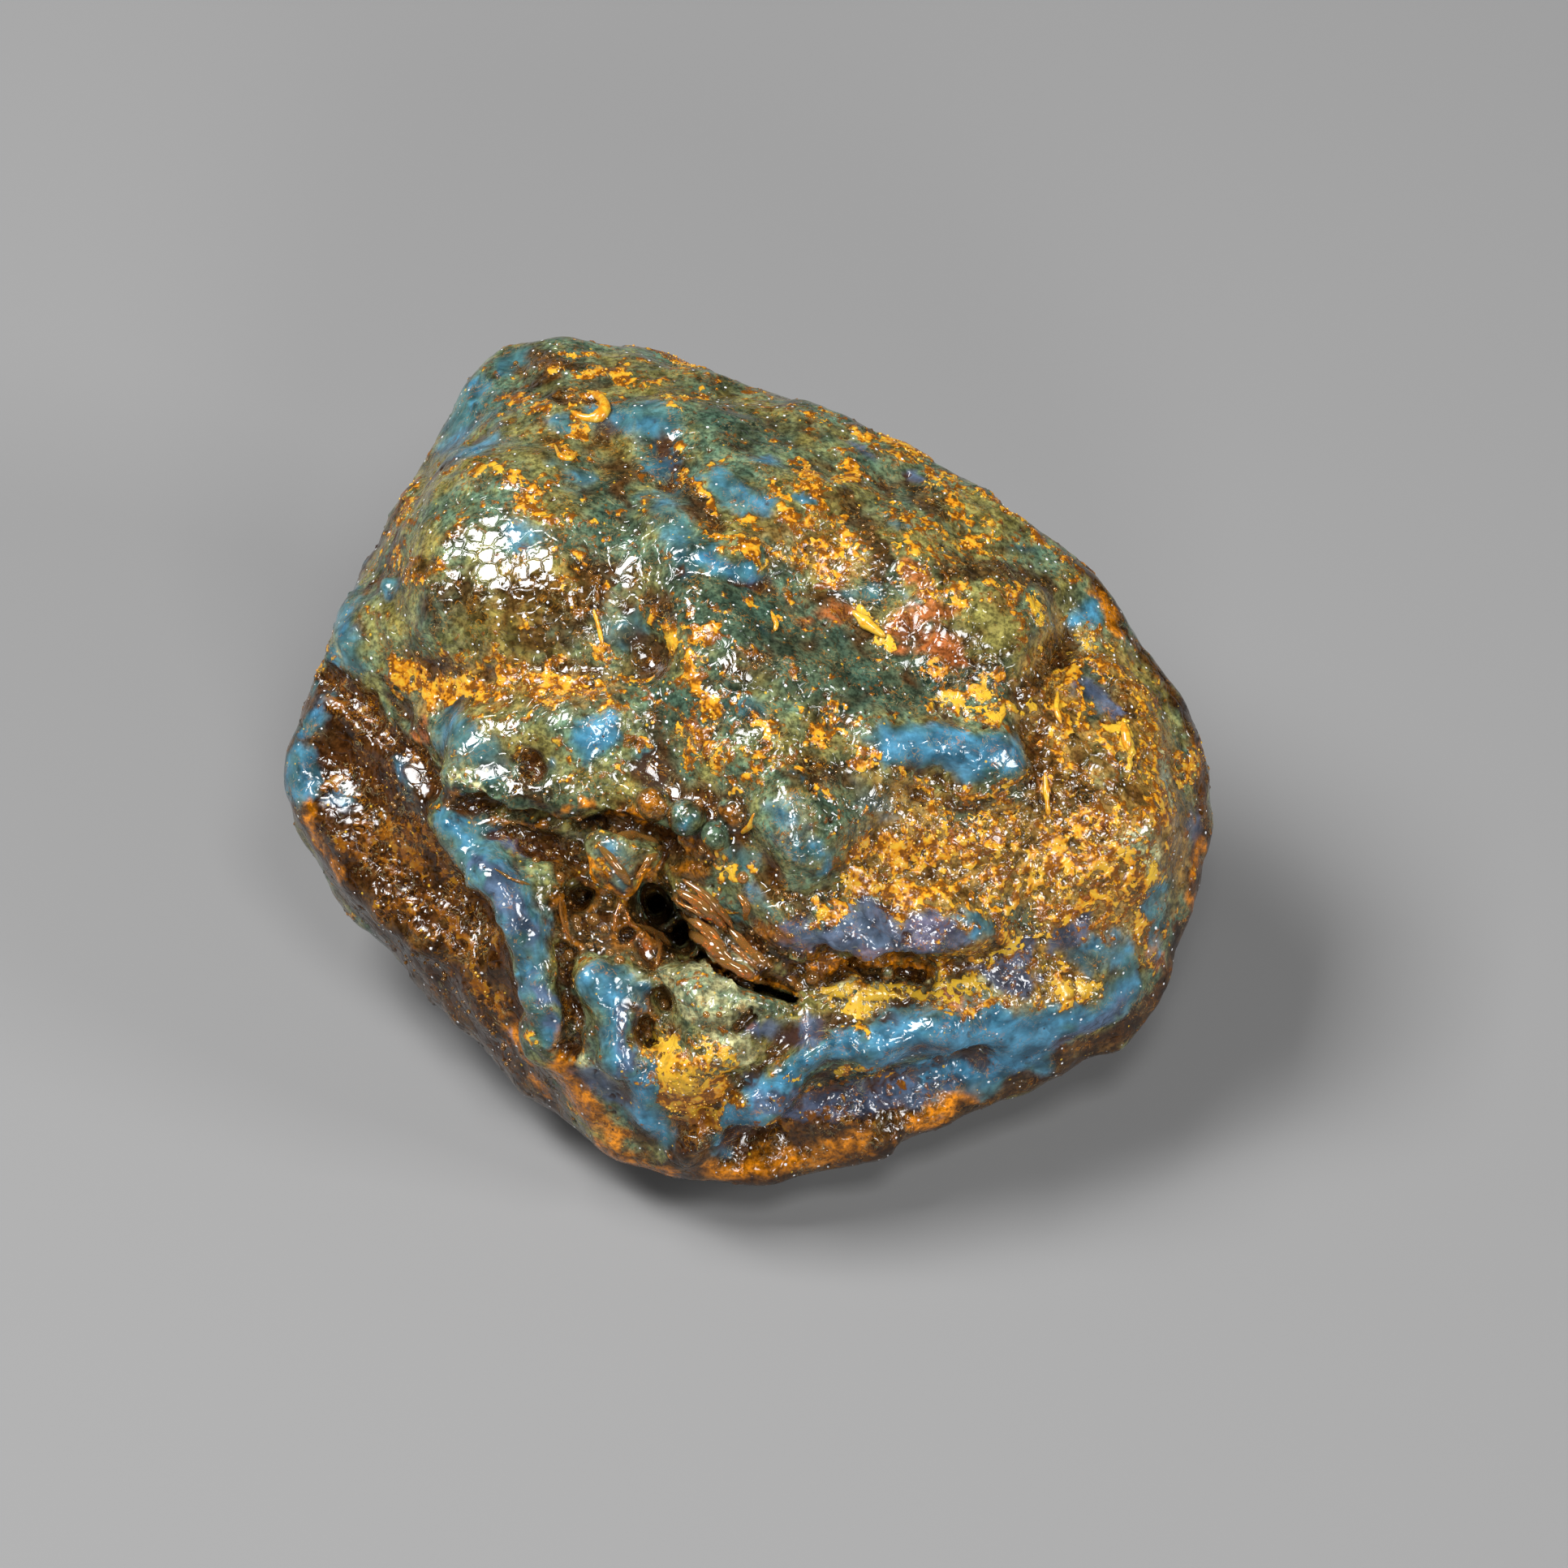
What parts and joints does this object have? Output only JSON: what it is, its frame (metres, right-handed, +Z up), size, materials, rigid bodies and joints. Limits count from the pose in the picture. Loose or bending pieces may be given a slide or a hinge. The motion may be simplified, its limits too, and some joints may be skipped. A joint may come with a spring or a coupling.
{
  "type": "raw amber lump",
  "caption": "Raw blue-green amber lump with an ochre weathered crust and wet gloss, lying on a small worn flat",
  "frame": {"origin": "centre of the bounding box in X and Y, on the flat that the lump lies on", "axes": "+Z up, +X along the lump's longest side, -Y towards the front, where its big worn face looks forward and up"},
  "size_m": [0.0502, 0.045, 0.0307],
  "materials": {
    "weathered_amber": "fossil resin, mottled teal, olive and brown under an ochre crust, translucent amber at thin edges, wet gloss"
  },
  "bodies": {
    "root": {"amber_lump": "weathered_amber"}
  },
  "joints": []
}
